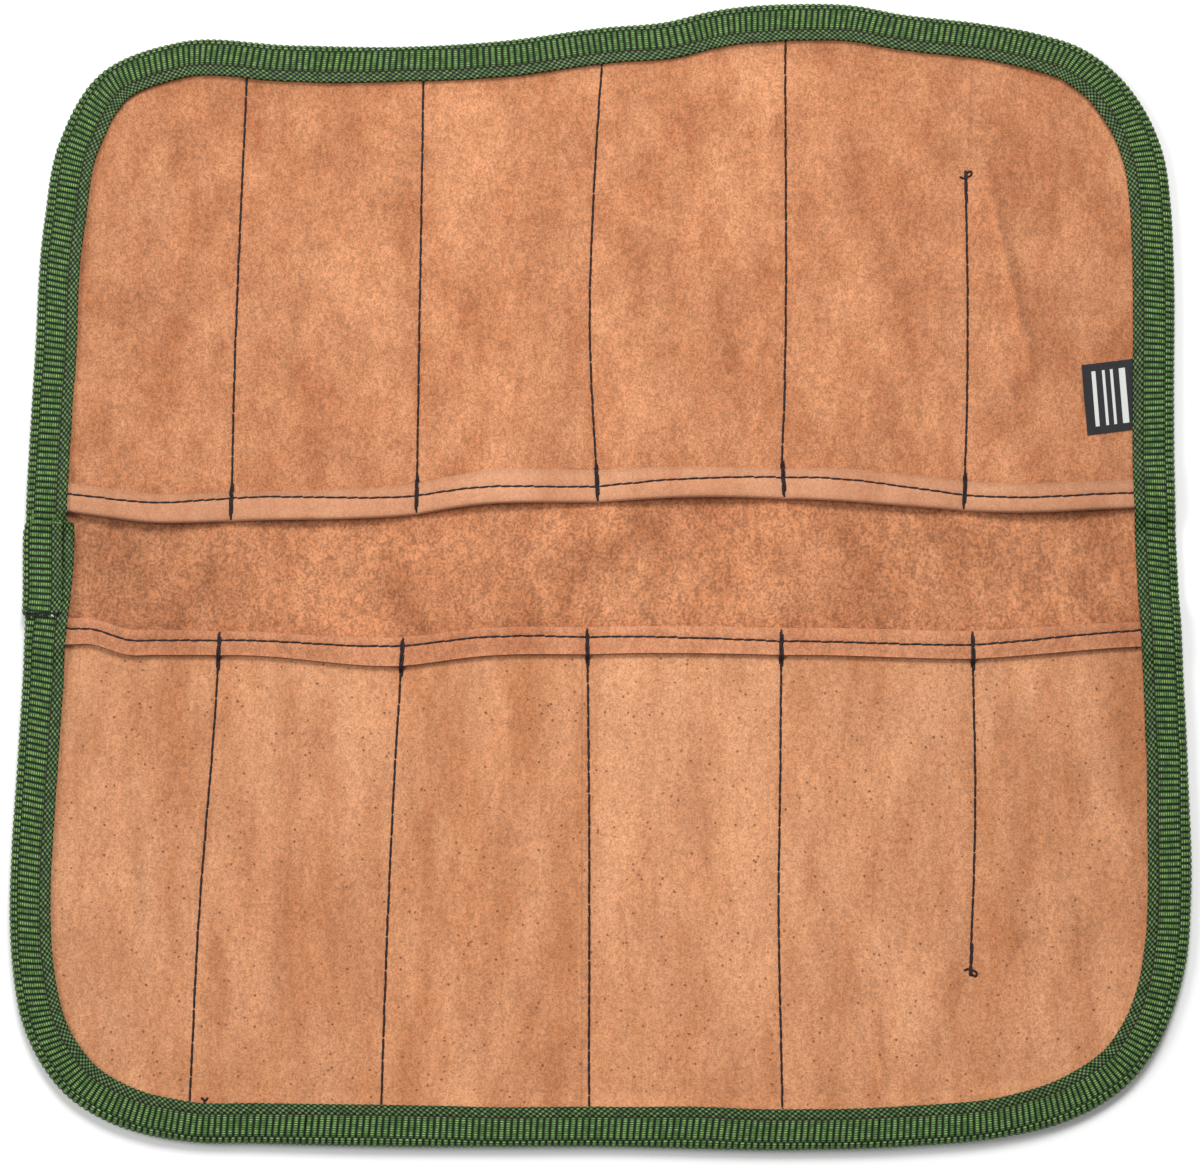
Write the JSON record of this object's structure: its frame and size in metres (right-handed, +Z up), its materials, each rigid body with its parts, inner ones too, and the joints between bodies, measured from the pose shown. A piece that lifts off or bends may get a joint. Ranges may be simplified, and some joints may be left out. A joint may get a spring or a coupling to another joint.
{
  "type": "carving tool roll",
  "caption": "Leather roll for woodcarving tools, laid open: two facing rows of pockets with hemmed mouths, webbing bound round the edge, folding at the seams between pockets to roll up.",
  "frame": {"origin": "middle of the underside of the roll laid open, on the table", "axes": "+X across the pockets to the side with the label, +Y from the lower row of pockets to the upper row, +Z up from the table"},
  "size_m": [0.37, 0.368, 0.0101],
  "materials": {
    "backing_leather": "coarse suede, flesh side up",
    "pocket_leather": "soft suede and pored split leather",
    "webbing": "ribbed nylon webbing",
    "binding_thread": "matt thread",
    "leather_thread": "dark waxed thread",
    "label": "woven satin"
  },
  "bodies": {
    "panel_1": {"backing_1": "backing_leather", "upper_pocket_1": "pocket_leather", "lower_pocket_1": "pocket_leather", "binding_top_1": "webbing", "binding_bottom_1": "webbing", "binding_seam_1": "binding_thread", "hem_seam_1": "leather_thread", "upper_divider_seam_1": "leather_thread", "lower_divider_seam_1": "leather_thread", "binding_left": "webbing", "binding_lap": "webbing"},
    "panel_2": {"backing_2": "backing_leather", "upper_pocket_2": "pocket_leather", "lower_pocket_2": "pocket_leather", "binding_top_2": "webbing", "binding_bottom_2": "webbing", "binding_seam_2": "binding_thread", "hem_seam_2": "leather_thread", "upper_divider_seam_2": "leather_thread", "lower_divider_seam_2": "leather_thread"},
    "panel_3": {"backing_3": "backing_leather", "upper_pocket_3": "pocket_leather", "lower_pocket_3": "pocket_leather", "binding_top_3": "webbing", "binding_bottom_3": "webbing", "binding_seam_3": "binding_thread", "hem_seam_3": "leather_thread", "upper_divider_seam_3": "leather_thread", "lower_divider_seam_3": "leather_thread"},
    "panel_4": {"backing_4": "backing_leather", "upper_pocket_4": "pocket_leather", "lower_pocket_4": "pocket_leather", "binding_top_4": "webbing", "binding_bottom_4": "webbing", "binding_seam_4": "binding_thread", "hem_seam_4": "leather_thread", "upper_divider_seam_4": "leather_thread", "lower_divider_seam_4": "leather_thread"},
    "panel_5": {"backing_5": "backing_leather", "upper_pocket_5": "pocket_leather", "lower_pocket_5": "pocket_leather", "binding_top_5": "webbing", "binding_bottom_5": "webbing", "binding_seam_5": "binding_thread", "hem_seam_5": "leather_thread", "upper_divider_seam_5": "leather_thread", "lower_divider_seam_5": "leather_thread"},
    "panel_6": {"backing_6": "backing_leather", "upper_pocket_6": "pocket_leather", "lower_pocket_6": "pocket_leather", "binding_top_6": "webbing", "binding_bottom_6": "webbing", "binding_seam_6": "binding_thread", "hem_seam_6": "leather_thread", "binding_right": "webbing", "label": "label"}
  },
  "joints": [
    {"name": "fold_1", "type": "hinge", "parent": "panel_2", "child": "panel_1", "pos_m": [-0.121, 0, 0.0061], "axis": [0, 1, 0], "range_deg": [0, 110]},
    {"name": "fold_2", "type": "hinge", "parent": "panel_3", "child": "panel_2", "pos_m": [-0.0615, 0, 0.0061], "axis": [0, 1, 0], "range_deg": [0, 90]},
    {"name": "fold_3", "type": "hinge", "parent": "panel_4", "child": "panel_3", "pos_m": [-0.002, 0, 0.0061], "axis": [0, 1, 0], "range_deg": [0, 60]},
    {"name": "fold_4", "type": "hinge", "parent": "panel_5", "child": "panel_4", "pos_m": [0.0575, 0, 0.0061], "axis": [0, 1, 0], "range_deg": [0, 65]},
    {"name": "fold_5", "type": "hinge", "parent": "panel_6", "child": "panel_5", "pos_m": [0.117, 0, 0.0061], "axis": [0, 1, 0], "range_deg": [0, 75]}
  ]
}
